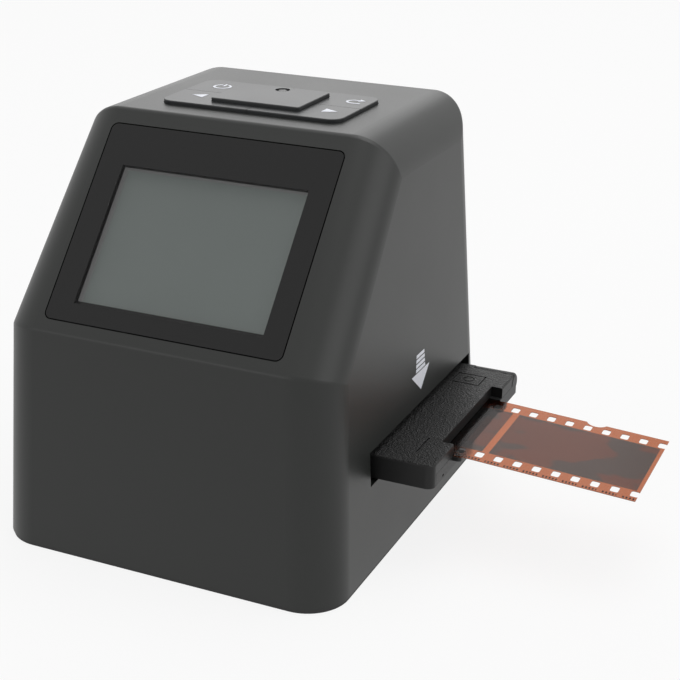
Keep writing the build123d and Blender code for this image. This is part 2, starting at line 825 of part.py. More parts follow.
with BuildPart() as main_board:
    with BuildSketch(Plane.XY.offset(main_board_height)):
        with Locations((0, main_board_mid)):
            Rectangle(main_board_width, main_board_back - main_board_front)
            with GridLocations(*main_post_spread, 2, 2):
                Circle(small_screw_radius + hole_gap, mode=Mode.SUBTRACT)
    extrude(amount=board_thickness)

with BuildPart() as processor_chip:
    with BuildSketch(Plane.XY.offset(socket_foot)):
        with Locations((chip_x, main_board_mid)):
            Rectangle(chip_size, chip_size)
    extrude(amount=chip_height)


def socket(middle, width, height, depth, mouth):
    """A metal shell with an open mouth to the back and a tongue inside."""
    with BuildPart() as shell:
        with BuildSketch(Plane.XZ.offset(-mouth)):
            with Locations((middle, socket_foot + height / 2)):
                Rectangle(width, height)
        extrude(amount=depth)
        with BuildSketch(Plane.XZ.offset(-mouth)):
            with Locations((middle, socket_foot + height / 2)):
                Rectangle(width - 2 * socket_shell, height - 2 * socket_shell)
        extrude(amount=depth - 2 * socket_shell, mode=Mode.SUBTRACT)
        with BuildSketch(Plane.XZ.offset(-mouth + socket_setback)):
            with Locations((middle, socket_foot + height / 2)):
                Rectangle(width - 2 * (socket_shell + tongue_side_gap), height * tongue_share)
        extrude(amount=depth - socket_setback)
    return shell


usb_socket = socket(usb_x, usb_width, usb_height, usb_depth, usb_mouth)
card_socket = socket(card_x, card_width, card_height, card_depth, card_mouth)


def small_screw(plane, spread, middle):
    """Four pan-head screws whose heads sit on a plane, at the corners of a rectangle."""
    with BuildPart() as screws:
        with BuildSketch(plane):
            with Locations(middle):
                with GridLocations(*spread, 2, 2):
                    Circle(small_head_radius)
        extrude(amount=small_head_height)
        with BuildSketch(plane):
            with Locations(middle):
                with GridLocations(*spread, 2, 2):
                    Circle(small_screw_radius)
        extrude(amount=-small_screw_length)
        with BuildSketch(plane.offset(small_head_height)):
            with Locations(middle):
                with GridLocations(*spread, 2, 2):
                    Rectangle(small_head_radius * cross_reach, cross_width)
                    Rectangle(cross_width, small_head_radius * cross_reach)
        extrude(amount=-cross_depth, mode=Mode.SUBTRACT)
    return screws.part


def facing_down(plane):
    """The same plane, seen from its other side; its Y runs the other way."""
    return Plane(origin=plane.origin, x_dir=plane.x_dir, z_dir=-plane.z_dir)


key_board_face = facing_down(Plane.XY.offset(key_board_top - board_thickness))
bracket_face = facing_down(screen_plane.offset(-panel_back - bracket_thickness))

with BuildPart() as small_screws:
    add(small_screw(Plane.XY.offset(socket_foot), main_post_spread, (0, main_board_mid)))
    add(small_screw(key_board_face, key_post_spread, (0, -keypad_mid)))
    add(small_screw(bracket_face, (2 * bracket_post_x, 2 * bracket_post_y), (0, -aperture_mid)))
    add(
        small_screw(
            Plane.XY.offset(sensor_board_foot + board_thickness),
            (tower_post_spread, tower_post_spread),
            (0, holder_centre),
        )
    )

# ---------------------------------------------------------------- film holder
channel_floor = film_height - film_thickness / 2 - channel_gap
split_height = film_height + film_thickness / 2 + channel_gap
base_front = holder_front + skirt + fit_gap / 2
hinge_y = holder_back + hinge_overhang - barrel_radius
hinge_z = holder_top - barrel_radius
# each hinge: the base's barrel at the holder's end, and the lid's knuckle on its inner side
right_barrel = holder_right - barrel_length / 2
barrels = [(right_barrel, -1), (2 * holder_middle - right_barrel, 1)]
knuckle_end = seam + knuckle_length


def along_hinge(barrel, side, start, end):
    """The middle of what lies between two distances inward from a barrel's inner end."""
    return barrel + side * (barrel_length + start + end) / 2


def round_bar(radius, length, mode=Mode.ADD):
    """A round bar along X."""
    return Cylinder(radius, length, rotation=(0, 90, 0), mode=mode)


def pin_holes():
    """The holes for the hinge pins."""
    for barrel, side in barrels:
        with Locations((along_hinge(barrel, side, -pin_reach, knuckle_end), hinge_y, hinge_z)):
            round_bar(pin_radius + pilot_gap, pin_reach + knuckle_end + 2 * pilot_gap, Mode.SUBTRACT)


with BuildPart() as holder_base:
    with BuildSketch(Plane.XY.offset(holder_foot)):
        with Locations((holder_middle, (base_front + holder_back) / 2)):
            Rectangle(holder_length, holder_back - base_front)
    extrude(amount=split_height - holder_foot)
    chamfer(holder_base.edges().group_by(Axis.Z)[0], holder_edge)
    chamfer(holder_base.edges().group_by(Axis.Z)[-1], seam_edge)
    # ears under the film's edges, at the end where it leaves
    with BuildSketch(Plane.XY.offset(channel_floor)):
        with Locations((holder_right, holder_centre)):
            with GridLocations(0, film_width + 2 * channel_side_gap - ear_width, 1, 2):
                RectangleRounded(2 * ear_length, ear_width, ear_corner)
    extrude(amount=-ear_thickness)
    # film channel and gate
    with BuildSketch(Plane.XY.offset(channel_floor)):
        with Locations((holder_middle, holder_centre)):
            Rectangle(holder_length + 2 * cut_margin, film_width + 2 * channel_side_gap)
    extrude(amount=split_height, mode=Mode.SUBTRACT)
    with BuildSketch(Plane.XY.offset(holder_foot)):
        with Locations((0, holder_centre)):
            Rectangle(gate_length, gate_width)
    extrude(amount=holder_height, mode=Mode.SUBTRACT)
    # small hole in the end
    with Locations((holder_right, holder_front + end_hole_inset, holder_foot + end_hole_lift)):
        round_bar(end_hole_radius, 2 * end_hole_depth, Mode.SUBTRACT)
    # room for the lid's back edge and its knuckles, then the base's barrels
    with BuildSketch(Plane.XY.offset(split_height)):
        with Locations((holder_middle, holder_back)):
            Rectangle(holder_length, 2 * (holder_back - hinge_y + turn_room))
    extrude(amount=-turn_room, mode=Mode.SUBTRACT)
    for barrel, side in barrels:
        with Locations((along_hinge(barrel, side, 0, knuckle_end + seam), hinge_y, hinge_z)):
            round_bar(barrel_radius + fit_gap, knuckle_end + seam, Mode.SUBTRACT)
        with BuildPart(mode=Mode.PRIVATE) as bar:
            with Locations((barrel, hinge_y, hinge_z)):
                round_bar(barrel_radius, barrel_length)
            fillet(bar.edges().sort_by(Axis.X, reverse=side < 0)[0], barrel_round)
        add(bar.part)
    pin_holes()

with BuildPart() as holder_lid:
    with BuildSketch(Plane.XY.offset(split_height)):
        with Locations((holder_middle, holder_centre)):
            Rectangle(holder_length, holder_width)
    extrude(amount=holder_top - split_height)
    with BuildSketch(Plane.XY.offset(holder_foot + skirt_lift)):
        with Locations((holder_middle, holder_front + skirt / 2)):
            Rectangle(holder_length, skirt)
    extrude(amount=split_height - holder_foot - skirt_lift)
    fillet(holder_lid.edges().filter_by(Axis.Z).group_by(Axis.Y)[0], holder_corner)
    fillet(holder_lid.faces().sort_by(Axis.Z)[-1].edges(), lid_edge)
    # finger recesses at both ends, and the gate
    with BuildSketch(Plane.XY.offset(split_height)):
        with Locations((holder_middle, holder_centre + recess_shift)):
            with GridLocations(holder_length - recess_depth, 0, 2, 1):
                Rectangle(recess_depth, recess_width)
        with Locations((0, holder_centre)):
            Rectangle(gate_length, gate_width)
    extrude(amount=holder_height, mode=Mode.SUBTRACT)
    for barrel, side in barrels:
        # the lid ends in front of the base's barrel, and has a knuckle beside it
        with Locations((barrel, hinge_y, hinge_z)):
            round_bar(barrel_radius + seam, barrel_length + 2 * seam, Mode.SUBTRACT)
        with BuildSketch(Plane.XY.offset(split_height)):
            with Locations((barrel, holder_back)):
                Rectangle(barrel_length + 2 * seam, 2 * (holder_back - hinge_y))
        extrude(amount=holder_height, mode=Mode.SUBTRACT)
        with Locations((along_hinge(barrel, side, seam, knuckle_end), hinge_y, hinge_z)):
            round_bar(barrel_radius, knuckle_length)
    pin_holes()
    # engraved guide marks
    with BuildSketch(Plane.XY.offset(holder_top)):
        with Locations((holder_right - frame_mark_inset, holder_back - frame_mark_inset)):
            Rectangle(frame_mark_length, frame_mark_width)
            Rectangle(frame_mark_length - 2 * groove, frame_mark_width - 2 * groove, mode=Mode.SUBTRACT)
            Circle(frame_mark_ring)
            Circle(frame_mark_ring - groove, mode=Mode.SUBTRACT)
        with Locations((holder_right - line_mark_inset, holder_front + frame_mark_inset)):
            Rectangle(groove, line_mark_length)
    extrude(amount=-groove_depth, mode=Mode.SUBTRACT)

with BuildPart() as hinge_pins:
    for barrel, side in barrels:
        with Locations((along_hinge(barrel, side, -pin_reach, knuckle_end), hinge_y, hinge_z)):
            round_bar(pin_radius, pin_reach + knuckle_end)

# ---------------------------------------------------------------- film
perforations = frame_count * perforation_count
perforation_mid = film_right - cut_perforation_inset - (perforations - 1) * perforation_pitch / 2

with BuildPart() as film_strip:
    with BuildSketch(Plane.XY.offset(film_height - film_thickness / 2)):
        with Locations(((film_left + film_right) / 2, holder_centre)):
            Rectangle(film_length, film_width)
        with Locations((perforation_mid, holder_centre)):
            with GridLocations(perforation_pitch, perforation_span, perforations, 2):
                RectangleRounded(
                    perforation_length, perforation_width, perforation_corner, mode=Mode.SUBTRACT
                )
        notch_y = holder_centre + film_width / 2 + notch_radius - notch_depth
        with Locations((film_right - notch_inset, notch_y)):
            Circle(notch_radius, mode=Mode.SUBTRACT)
    extrude(amount=film_thickness)

# ---------------------------------------------------------------- one file for each piece
pieces = {
    "main_case": main_case,
    "base_cover": base_cover,
    "rubber_feet": rubber_feet,
    "case_screws": case_screws,
    "small_screws": small_screws,
    "screen_window": screen_window,
    "window_mask": window_mask,
    "display_panel": display_panel,
    "display_frame": display_frame,
    "lcd_bracket": lcd_bracket,
    "ok_key": ok_key,
    "power_key": power_key,
    "mode_key": mode_key,
    "left_key": left_key,
    "right_key": right_key,
    "key_board": key_board,
    "tact_switches": tact_switches,
    "status_led": status_led,
    "light_pipe": light_pipe,
    "main_board": main_board,
    "processor_chip": processor_chip,
    "usb_socket": usb_socket,
    "card_socket": card_socket,
    "slot_guide": slot_guide,
    "detent_spring": detent_spring,
    "optics_tower": optics_tower,
    "lens_tube": lens_tube,
    "lens_glass": lens_glass,
    "sensor_board": sensor_board,
    "image_sensor": image_sensor,
    "backlight_board": backlight_board,
    "backlight_leds": backlight_leds,
    "light_box": light_box,
    "diffuser_plate": diffuser_plate,
    "holder_base": holder_base,
    "holder_lid": holder_lid,
    "hinge_pins": hinge_pins,
    "film_strip": film_strip,
}
for label, piece in pieces.items():
    piece.part.label = label
    export_step(piece.part, f"parts/{label}.step")
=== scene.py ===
# %% [markdown]
# # A film negative scanner
#
# The frame holds the scanner's solid parts, each at its own place. This lesson adds what solids
# alone can't say: the finishes, the printed signs, the soft bend of the film, the light and the
# camera. All lengths are in metres, so a millimetre has a name of its own.

# %% Load the frame
from math import pi, radians, sin, tan

import bpy
from mathutils import Euler, Matrix, Vector


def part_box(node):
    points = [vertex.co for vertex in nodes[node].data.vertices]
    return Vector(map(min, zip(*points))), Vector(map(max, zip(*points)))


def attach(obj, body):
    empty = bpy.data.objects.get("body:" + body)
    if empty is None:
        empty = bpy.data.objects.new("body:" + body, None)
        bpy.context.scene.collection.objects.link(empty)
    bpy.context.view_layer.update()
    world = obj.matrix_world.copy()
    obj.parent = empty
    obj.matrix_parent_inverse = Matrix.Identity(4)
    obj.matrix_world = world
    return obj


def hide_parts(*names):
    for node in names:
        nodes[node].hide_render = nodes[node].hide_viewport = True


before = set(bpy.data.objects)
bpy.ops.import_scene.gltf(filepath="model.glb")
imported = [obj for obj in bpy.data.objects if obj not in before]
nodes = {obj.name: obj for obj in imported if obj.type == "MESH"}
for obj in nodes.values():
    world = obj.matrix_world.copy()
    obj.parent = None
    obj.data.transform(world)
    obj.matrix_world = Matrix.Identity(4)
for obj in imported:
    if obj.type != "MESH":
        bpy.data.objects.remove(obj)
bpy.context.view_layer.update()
mm = 0.001

# %% [markdown]
# ## The camera
#
# The photograph was taken from the right and a little above, with a short telephoto lens. The
# camera is placed first, so that each later step can be judged in the same view. A small lens
# shift stands for the picture having been trimmed a little off its centre.

# %% Place the camera
camera_place = Vector((164.53, -317.12, 185.70)) * mm
view_azimuth, view_elevation, view_roll = radians(24.200), radians(21.308), radians(0.712)

camera_data = bpy.data.cameras.new("camera")
camera_data.sensor_width, camera_data.lens = 36.0, 79.144
camera_data.shift_x, camera_data.shift_y = 0.00982, -0.02384
camera = bpy.data.objects.new("camera", camera_data)
bpy.context.scene.collection.objects.link(camera)
aim = Euler((pi / 2 - view_elevation, 0, view_azimuth)).to_matrix()
camera.matrix_world = Matrix.Translation(camera_place) @ (
    aim @ Matrix.Rotation(view_roll, 3, "Z")
).to_4x4()
bpy.context.scene.camera = camera
print("camera at", [round(value, 3) for value in camera_place])

# %% [markdown]
# ## Shader maths as plain expressions
#
# A finish is a small sum: this much grain, that much darker, only above this height. Drawn as
# nodes, such a sum takes a page. Here one class wraps a socket, so that an expression on its
# values adds the Math nodes, and one method of the finish adds any other node.


# %% Wires and finishes
class Wire:
    """A value inside a finish. Sums of wires add the Math nodes that work them out."""

    def __init__(self, finish, socket):
        self.finish, self.socket = finish, socket

    def maths(self, operation, *values):
        return self.finish.node("Math", {"operation": operation}, dict(enumerate(values)))

    def __add__(self, other):
        return self.maths("ADD", self, other)

    def __sub__(self, other):
        return self.maths("SUBTRACT", self, other)

    def __rsub__(self, other):
        return self.maths("SUBTRACT", other, self)

    def __mul__(self, other):
        return self.maths("MULTIPLY", self, other)

    def __truediv__(self, other):
        return self.maths("DIVIDE", self, other)

    def __mod__(self, other):
        return self.maths("FLOORED_MODULO", self, other)

    def __gt__(self, other):
        return self.maths("GREATER_THAN", self, other)

    def __lt__(self, other):
        return self.maths("LESS_THAN", self, other)

    def __abs__(self):
        return self.maths("ABSOLUTE", self)

    def least(self, other):
        return self.maths("MINIMUM", self, other)

    def most(self, other):
        return self.maths("MAXIMUM", self, other)

    def step(self, low, high):
        """Rises smoothly from 0 to 1 while the value goes from low to high."""
        sockets = {"Value": self, "From Min": low, "From Max": high}
        return self.finish.node("MapRange", {"interpolation_type": "SMOOTHSTEP"}, sockets)


class Finish:
    """A material or a world, built node by node. Patterns lie on the object's coordinates, in mm."""

    def __init__(self, name, owners=bpy.data.materials):
        self.owner = owners.new(name)
        self.owner.use_nodes = True
        self.tree = self.owner.node_tree
        self.tree.nodes.clear()

    def lay_out(self):
        """Adds the coordinates that patterns read."""
        place = self.node("TexCoord", output="Object")
        self.place = self.node("VectorMath", {"operation": "SCALE"}, {0: place, "Scale": 1 / mm})
        self.x, self.y, self.z = (
            self.node("SeparateXYZ", {}, {0: self.place}, axis) for axis in "XYZ"
        )
        return self

    def node(self, kind, settings=None, sockets=None, output=0):
        """Adds a node: its settings first, then the values or wires of its sockets."""
        node = self.tree.nodes.new("ShaderNode" + kind)
        for name, value in (settings or {}).items():
            setattr(node, name, value)
        for name, value in (sockets or {}).items():
            if isinstance(value, Wire):
                self.tree.links.new(value.socket, node.inputs[name])
            else:
                node.inputs[name].default_value = value
        return Wire(self, node.outputs[output]) if len(node.outputs) else node

    def noise(self, scale, detail=2.0, stretch=(1, 1, 1)):
        """Soft random values from 0 to 1, scale of them to a millimetre."""
        place = self.node("Mapping", {}, {"Vector": self.place, "Scale": stretch})
        return self.node("TexNoise", {}, {"Vector": place, "Scale": scale, "Detail": detail})

    def mix(self, factor, low, high):
        """A colour between two colours."""
        return self.node("Mix", {"data_type": "RGBA"}, {0: factor, 6: low, 7: high}, 2)

    def bump(self, height, distance):
        """Turns a height from 0 to 1 into relief, distance deep in millimetres."""
        return self.node("Bump", {}, {"Height": height, "Distance": distance * mm, "Strength": 1.0})

    def done(self, **surface):
        """Ends the finish with a surface shader. An underscore stands for a space."""
        sockets = {name.replace("_", " "): value for name, value in surface.items()}
        shader = self.node("BsdfPrincipled", {}, sockets)
        self.node("OutputMaterial", {}, {"Surface": shader})
        return self.owner


def screen(*levels):
    """A colour from its red, green and blue as a screen shows them, 0 to 255."""
    shares = [level / 255 for level in levels]
    return (*(s / 12.92 if s <= 0.04045 else ((s + 0.055) / 1.055) ** 2.4 for s in shares), 1)


def grey(level):
    return screen(level, level, level)


def dress(material, *names):
    """Gives solid parts a finish."""
    for name in names:
        nodes[name].data.materials.clear()
        nodes[name].data.materials.append(material)
    print(material.name, "on", ", ".join(names))


# %% [markdown]
# ## The casing and the keys
#
# The casing is moulded from charcoal plastic in a mould with a fine sparked surface. From an
# arm's length it looks smooth and satin: dark where it faces you, pale where you look along it.
# So the colour is nearly plain, and the roughness and a very low relief carry the look.

# %% Satin plastic
satin_gloss = 0.45  # how strongly it reflects, where 0.5 is plain plastic


def satin_plastic(name, colour, patch_colour, roughness, relief=0.006):
    finish = Finish(name).lay_out()
    spark = finish.noise(5.0, 3.0)
    patches = finish.noise(0.04, 2.0)
    speck = finish.noise(1.6, 1.0)
    return finish.done(
        Base_Color=finish.mix(patches * 0.7 + speck * 0.3, colour, patch_colour),
        Roughness=patches * 0.06 + spark * 0.1 + (roughness - 0.08),
        Normal=finish.bump(spark, relief), Specular_IOR_Level=satin_gloss,
    )


dress(satin_plastic("case_satin", screen(21, 23, 21), screen(26, 28, 26), 0.40), "main_case")
dress(
    satin_plastic("key_satin", screen(26, 28, 29), screen(31, 33, 34), 0.36, 0.004),
    "ok_key", "power_key", "mode_key", "left_key", "right_key",
)
dress(satin_plastic("cover_matte", grey(30), grey(36), 0.6, 0.01), "base_cover")


# %% [markdown]
# ## The film holder
#
# The holder's plastic is darker, and its top has a coarse leathery grain that hides
# fingerprints. The grain is cells with soft valleys between them, from a Voronoi pattern whose
# places are shifted by noise, and painted shade darkens the valleys. The smooth front wall and
# the hinges don't have it, so the pattern is kept to the faces that look upward. With its
# painted shade, the grained top comes out paler than the smooth walls.

# %% Leathery plastic
cells_per_mm = 1.5
cell_shift = {"X": 1.1, "Y": 0.7}  # in mm
valley_slope = 2.5
upward = 0.7  # the least upward lean of a face that has the grain
grain_depth = 0.2
holder_gloss = 0.3


def leathery_plastic(name):
    finish = Finish(name).lay_out()
    wobble = finish.noise(0.9, 2.0)
    shifts = {axis: wobble * reach for axis, reach in cell_shift.items()}
    shift = finish.node("CombineXYZ", {}, shifts)
    place = finish.node("VectorMath", {"operation": "ADD"}, {0: finish.place, 1: shift})
    cells = finish.node(
        "TexVoronoi", {"feature": "DISTANCE_TO_EDGE"}, {"Vector": place, "Scale": cells_per_mm}
    )
    pebbles = (cells * valley_slope).least(1.0)
    fine = finish.noise(6.0, 3.0)
    facing = finish.node("NewGeometry", output="Normal")
    on_top = finish.node("SeparateXYZ", {}, {0: facing}, "Z") > upward
    grain = pebbles * on_top
    return finish.done(
        # Painted shade darkens the grain's valleys and leaves the grained top paler than the walls.
        Base_Color=finish.mix(grain * 0.8 + fine * 0.2, grey(12), grey(30)),
        Roughness=fine * 0.15 + 0.36,
        Normal=finish.bump(grain + fine * 0.15, grain_depth), Specular_IOR_Level=holder_gloss,
    )


dress(leathery_plastic("holder_grain"), "holder_lid", "holder_base")

# %% [markdown]
# ## The screen
#
# One clear panel lies flush in the slope. A black print on it leaves a rectangle open, and
# through it the unlit display shows as a flat mid grey. So the panel is see-through only inside
# that rectangle. The display's frame shows as a strip at the left and the top, because the
# display sits a little right and low behind the print. The photograph shows the display evenly
# grey, without a shadow from the edge of the opening, so it and its frame glow faintly.

# %% Screen finishes
crease_height, slope = 56.8, radians(49.5)  # where the slope starts, and how steep it is
open_x, open_width = 0.3, 49.3
open_foot, open_length = 8.0, 36.2  # measured up the slope from the crease
pane_clearness, pane_gloss = 0.85, 0.25
pane = Finish("window_pane").lay_out()
haze = pane.noise(0.05, 2.0)
up_slope = (pane.z - crease_height) / sin(slope)
across_open = abs(pane.x - open_x) < open_width / 2
along_open = abs(up_slope - (open_foot + open_length / 2)) < open_length / 2
see_through = across_open * along_open
dress(
    pane.done(
        Base_Color=pane.mix(see_through, grey(26), grey(70)),
        Alpha=1 - see_through * (pane_clearness - haze * 0.03),
        Roughness=haze * 0.06 + 0.22, Specular_IOR_Level=pane_gloss,
    ),
    "screen_window",
)

ink = Finish("mask_ink").lay_out()
dots = ink.noise(3.0, 2.0)
dress(
    ink.done(Base_Color=ink.mix(dots, grey(38), grey(42)), Roughness=dots * 0.1 + 0.5),
    "window_mask",
)

pixel_pitch = 0.153
cell = Finish("display_cell").lay_out()
lines = abs(cell.x % pixel_pitch - pixel_pitch / 2) / (pixel_pitch / 2)
glow = cell.noise(0.03, 1.0)
dress(
    cell.done(
        Base_Color=cell.mix(lines * 0.15 + glow * 0.4, screen(84, 90, 88), screen(92, 98, 96)),
        Emission_Color=cell.mix(glow, screen(80, 85, 83), screen(84, 89, 87)),
        Emission_Strength=1.0, Roughness=glow * 0.1 + 0.45,
    ),
    "display_panel",
)

bezel = Finish("display_bezel").lay_out()
brushed = bezel.noise(1.0, 3.0, (1, 12, 12))
dress(
    bezel.done(
        Base_Color=bezel.mix(brushed, grey(72), grey(84)), Roughness=brushed * 0.15 + 0.45,
        Emission_Color=bezel.mix(brushed, grey(84), grey(92)), Emission_Strength=1.0,
    ),
    "display_frame",
)


# %% [markdown]
# ## Metals, boards and optics inside
#
# While the scanner is whole, only the sockets in its back, the small light on top, and the feet
# and screws underneath show. The rest is there to be taken out. Sheet metal gets a fine brushed
# grain, boards a lacquer with copper lines under it, and chips a dull resin.


# %% Metals
def brushed_metal(name, colour, worn, stretch, roughness):
    finish = Finish(name).lay_out()
    grain = finish.noise(1.2, 4.0, stretch)
    return finish.done(
        Base_Color=finish.mix(finish.noise(0.15), colour, worn), Metallic=1.0,
        Roughness=grain * 0.18 + roughness, Normal=finish.bump(grain, 0.006),
    )


dress(
    brushed_metal("plain_steel", grey(190), grey(170), (1, 14, 14), 0.24),
    "lcd_bracket", "usb_socket", "card_socket",
)
dress(
    brushed_metal("screw_steel", grey(175), grey(150), (6, 6, 1), 0.3),
    "case_screws", "small_screws", "hinge_pins",
)
dress(
    brushed_metal("spring_steel", screen(204, 200, 192), grey(180), (10, 1, 10), 0.18),
    "detent_spring",
)


# %% Circuit boards and chips
line_pitch, line_width, line_sway = 1.27, 0.4, 6.0
pad_pitch, pad_radius = 5.08, 0.55


def lacquered_board(name):
    finish = Finish(name).lay_out()
    lines = (finish.x + finish.noise(0.12, 1.0) * line_sway) % line_pitch < line_width
    copper = lines * (finish.noise(0.08, 1.0) > 0.5)
    across = finish.x % pad_pitch - pad_pitch / 2
    along = finish.y % pad_pitch - pad_pitch / 2
    pads = across * across + along * along < pad_radius * pad_radius
    lacquer = finish.mix(copper, screen(22, 92, 52), screen(40, 122, 70))
    return finish.done(
        Base_Color=finish.mix(pads, lacquer, screen(212, 176, 96)),
        Metallic=pads * 0.9, Roughness=0.34 - pads * 0.08,
        Normal=finish.bump(copper * (1 - pads), 0.03),
    )


def speckled_resin(name, colour, speck_colour, roughness):
    finish = Finish(name).lay_out()
    speck = finish.noise(4.0, 3.0)
    return finish.done(
        Base_Color=finish.mix(speck, colour, speck_colour), Roughness=speck * 0.15 + roughness,
        Normal=finish.bump(speck, 0.01),
    )


dress(lacquered_board("board_green"), "main_board", "key_board", "sensor_board", "backlight_board")
dress(speckled_resin("chip_resin", grey(30), grey(44), 0.5), "processor_chip", "tact_switches")
dress(
    speckled_resin("sensor_face", screen(46, 52, 66), screen(62, 70, 88), 0.2), "image_sensor"
)
dress(
    speckled_resin("inner_black", grey(28), grey(38), 0.6),
    "slot_guide", "optics_tower", "lens_tube",
)
dress(speckled_resin("inner_white", grey(232), grey(240), 0.5), "light_box")
dress(speckled_resin("foot_rubber", grey(32), grey(44), 0.75), "rubber_feet")


# %% Lamps, lens and light pipe
def clear_resin(name, colour, core_colour, clearness, roughness):
    finish = Finish(name).lay_out()
    swirl = finish.noise(0.8)
    return finish.done(
        Base_Color=finish.mix(swirl, colour, core_colour), Roughness=swirl * 0.1 + roughness,
        Alpha=1 - (1 - swirl * 0.2) * clearness, Coat_Weight=0.4, Coat_Roughness=0.1,
    )


dress(
    clear_resin("lamp_phosphor", screen(238, 236, 226), screen(236, 224, 150), 0.0, 0.3),
    "status_led", "backlight_leds",
)
dress(clear_resin("opal_sheet", grey(236), grey(246), 0.15, 0.45), "diffuser_plate")
dress(
    clear_resin("coated_lens", screen(150, 170, 190), screen(170, 150, 200), 0.6, 0.05),
    "lens_glass",
)

# The light pipe is frosted in the middle. Its clear rim shows the dark hole behind it as a ring.
low_corner, high_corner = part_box("light_pipe")
pipe_middle = (low_corner + high_corner) / 2 / mm
frosted_radius, rim_clearness = 1.05, 0.92
pipe = Finish("ringed_pipe").lay_out()
sideways, backwards = pipe.x - pipe_middle.x, pipe.y - pipe_middle.y
rim = sideways * sideways + backwards * backwards > frosted_radius * frosted_radius
swirl = pipe.noise(0.8)
dress(
    pipe.done(
        Base_Color=pipe.mix(swirl, grey(88), grey(100)), Alpha=1 - rim * rim_clearness,
        Roughness=swirl * 0.1 + 0.45,
    ),
    "light_pipe",
)

# %% [markdown]
# ## The film
#
# A strip of developed colour negative: a clear orange base with two rows of square holes, and
# pictures that are brown and grey, with their lights and darks reversed. It only tints what
# lies behind it, so it is black over the holder and bright over the floor. The solid strip is
# flat, as it lies in the holder. Outside the holder a real strip bows down a little under its
# own weight, so a copy of the solid is cut across in many places and its free end is lowered.

# %% Bend the film
film_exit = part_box("holder_lid")[1].x
film_lean = tan(radians(3.04))
bend_run = 5 * mm
cut_spacing = 2.375 * mm
weld_distance = 1e-6


def drop(x):
    """How far the film hangs below its flat place, x along it: a short bend, then straight."""
    reach = max(x - film_exit, 0.0)
    if reach < bend_run:
        return film_lean * reach * reach / (2 * bend_run)
    return film_lean * (reach - bend_run / 2)


def only(*objects):
    """Selects these objects alone and makes the first one active."""
    bpy.ops.object.select_all(action="DESELECT")
    for item in objects:
        item.select_set(True)
    bpy.context.view_layer.objects.active = objects[0]


film = bpy.data.objects.new("negative_film", nodes["film_strip"].data.copy())
bpy.context.scene.collection.objects.link(film)
film_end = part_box("film_strip")[1].x
only(film)
bpy.ops.object.mode_set(mode="EDIT")
bpy.ops.mesh.select_all(action="SELECT")
bpy.ops.mesh.remove_doubles(threshold=weld_distance)
cut = film_exit
while cut < film_end:
    bpy.ops.mesh.select_all(action="SELECT")
    bpy.ops.mesh.bisect(plane_co=(cut, 0, 0), plane_no=(1, 0, 0))
    cut += cut_spacing
bpy.ops.object.mode_set(mode="OBJECT")
for vertex in film.data.vertices:
    vertex.co.z -= drop(vertex.co.x)
print("film:", len(film.data.vertices), "points, its end", round(drop(film_end) / mm, 2), "mm low")


# %% Film finish
film_middle = 6.5  # its centre line, behind the casing's
frame_pitch, first_gap, gap_width = 38.0, 65.15, 1.7
picture_half_width = 12.2
tick_row, tick_half_width = -16.6, 0.42  # edge ticks, in front of the centre line
tick_pitch, tick_length = 0.8, 0.42
group_pitch, group_length = 4.75, 3.6


def colour_negative(name):
    finish = Finish(name).lay_out()
    along = (finish.x - first_gap + gap_width / 2) % frame_pitch
    across = finish.y - film_middle
    picture = (along > gap_width) * (abs(across) < picture_half_width)
    haze = finish.noise(0.035, 1.5, (1, 1.6, 1))
    hills = finish.noise(0.06, 2.5, (1, 1.3, 1)).step(0.47, 0.53)
    shapes = finish.mix(hills, screen(90, 78, 74), screen(114, 76, 66))
    ticks = (finish.x % tick_pitch < tick_length) * (finish.x % group_pitch < group_length)
    ticks = ticks * (abs(across - tick_row) < tick_half_width)
    border = finish.mix(haze, screen(176, 104, 72), screen(186, 114, 82))
    edge = finish.mix(ticks, border, screen(58, 36, 30))
    return finish.done(
        Base_Color=finish.mix(picture, edge, finish.mix(haze * 0.4, shapes, screen(82, 72, 68))),
        Roughness=haze * 0.08 + 0.12, Transmission_Weight=1.0, IOR=1.14,
    )


film.data.materials.clear()
film.data.materials.append(colour_negative("colour_negative"))
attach(film, "film")
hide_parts("film_strip")

# %% [markdown]
# ## Printed signs
#
# The signs are a layer of pale ink, a twentieth of a millimetre thick. Each is shaped flat in
# edit mode, given its thickness by one extrude, and only then laid on its face, so that the
# same few steps serve a sign on the leaning side wall and one on a key.

# %% Ink and helpers
ink_thickness = 0.05 * mm
pale = Finish("pale_ink").lay_out()
rub = pale.noise(2.5)
pale_ink = pale.done(
    Base_Color=pale.mix(rub, screen(230, 233, 243), screen(242, 244, 250)),
    Roughness=rub * 0.15 + 0.45, Normal=pale.bump(rub, 0.004),
)
print("ink:", pale_ink.name, "laid", round(ink_thickness / mm, 3), "mm thick")


def flat_triangle(length, width, middle=(0, 0)):
    """A flat triangle that points along +X. Its base's middle is at middle, in mm."""
    turn = (0, 0, -pi / 2)
    bpy.ops.mesh.primitive_circle_add(vertices=3, radius=1, fill_type="NGON", rotation=turn)
    triangle = bpy.context.object
    bpy.ops.object.transform_apply(location=False, rotation=True, scale=False)
    low = min(vertex.co.x for vertex in triangle.data.vertices)
    extent = triangle.dimensions.copy()
    for vertex in triangle.data.vertices:
        vertex.co.x = ((vertex.co.x - low) / extent.x * length + middle[0]) * mm
        vertex.co.y = (vertex.co.y / extent.y * width + middle[1]) * mm
    return triangle


def flat_bar(length, near_width, far_width, middle):
    """A flat bar across X whose two long edges may differ, its place in mm."""
    bpy.ops.mesh.primitive_plane_add(size=2)
    bar = bpy.context.object
    for vertex in bar.data.vertices:
        width = far_width if vertex.co.x > 0 else near_width
        vertex.co.x = (vertex.co.x * length / 2 + middle[0]) * mm
        vertex.co.y = (vertex.co.y * width / 2 + middle[1]) * mm
    return bar


